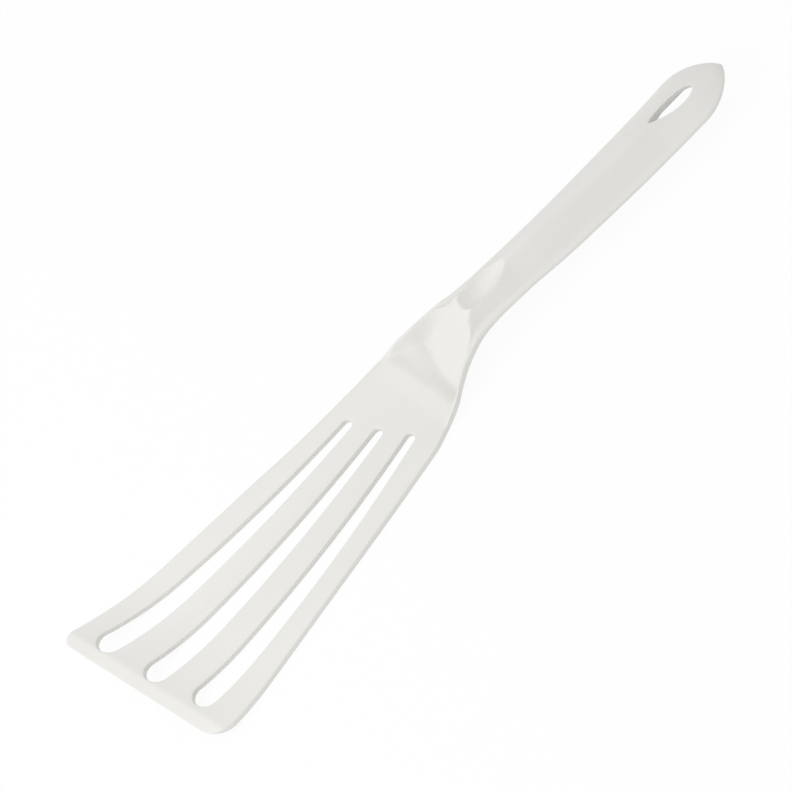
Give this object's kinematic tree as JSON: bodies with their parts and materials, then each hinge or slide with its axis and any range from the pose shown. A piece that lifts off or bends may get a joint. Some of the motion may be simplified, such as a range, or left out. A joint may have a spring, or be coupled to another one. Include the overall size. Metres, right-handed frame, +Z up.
{
  "type": "fish spatula",
  "caption": "One-piece moulded slotted fish turner with an offset flaring blade, thumb dimple, ridged handle and hang hole.",
  "frame": {"origin": "on the flat underside of the blade at its root, on the middle plane of the handle, where the blade turns up into the neck", "axes": "+Y from the blade to the handle along the tool's length, +X toward the flared side of the blade, +Z up out of the blade's top face"},
  "size_m": [0.072, 0.3001, 0.0205],
  "materials": {
    "moulded_polymer": "fine satin moulded surface, off-white"
  },
  "bodies": {
    "root": {"spatula_body": "moulded_polymer"}
  },
  "joints": []
}
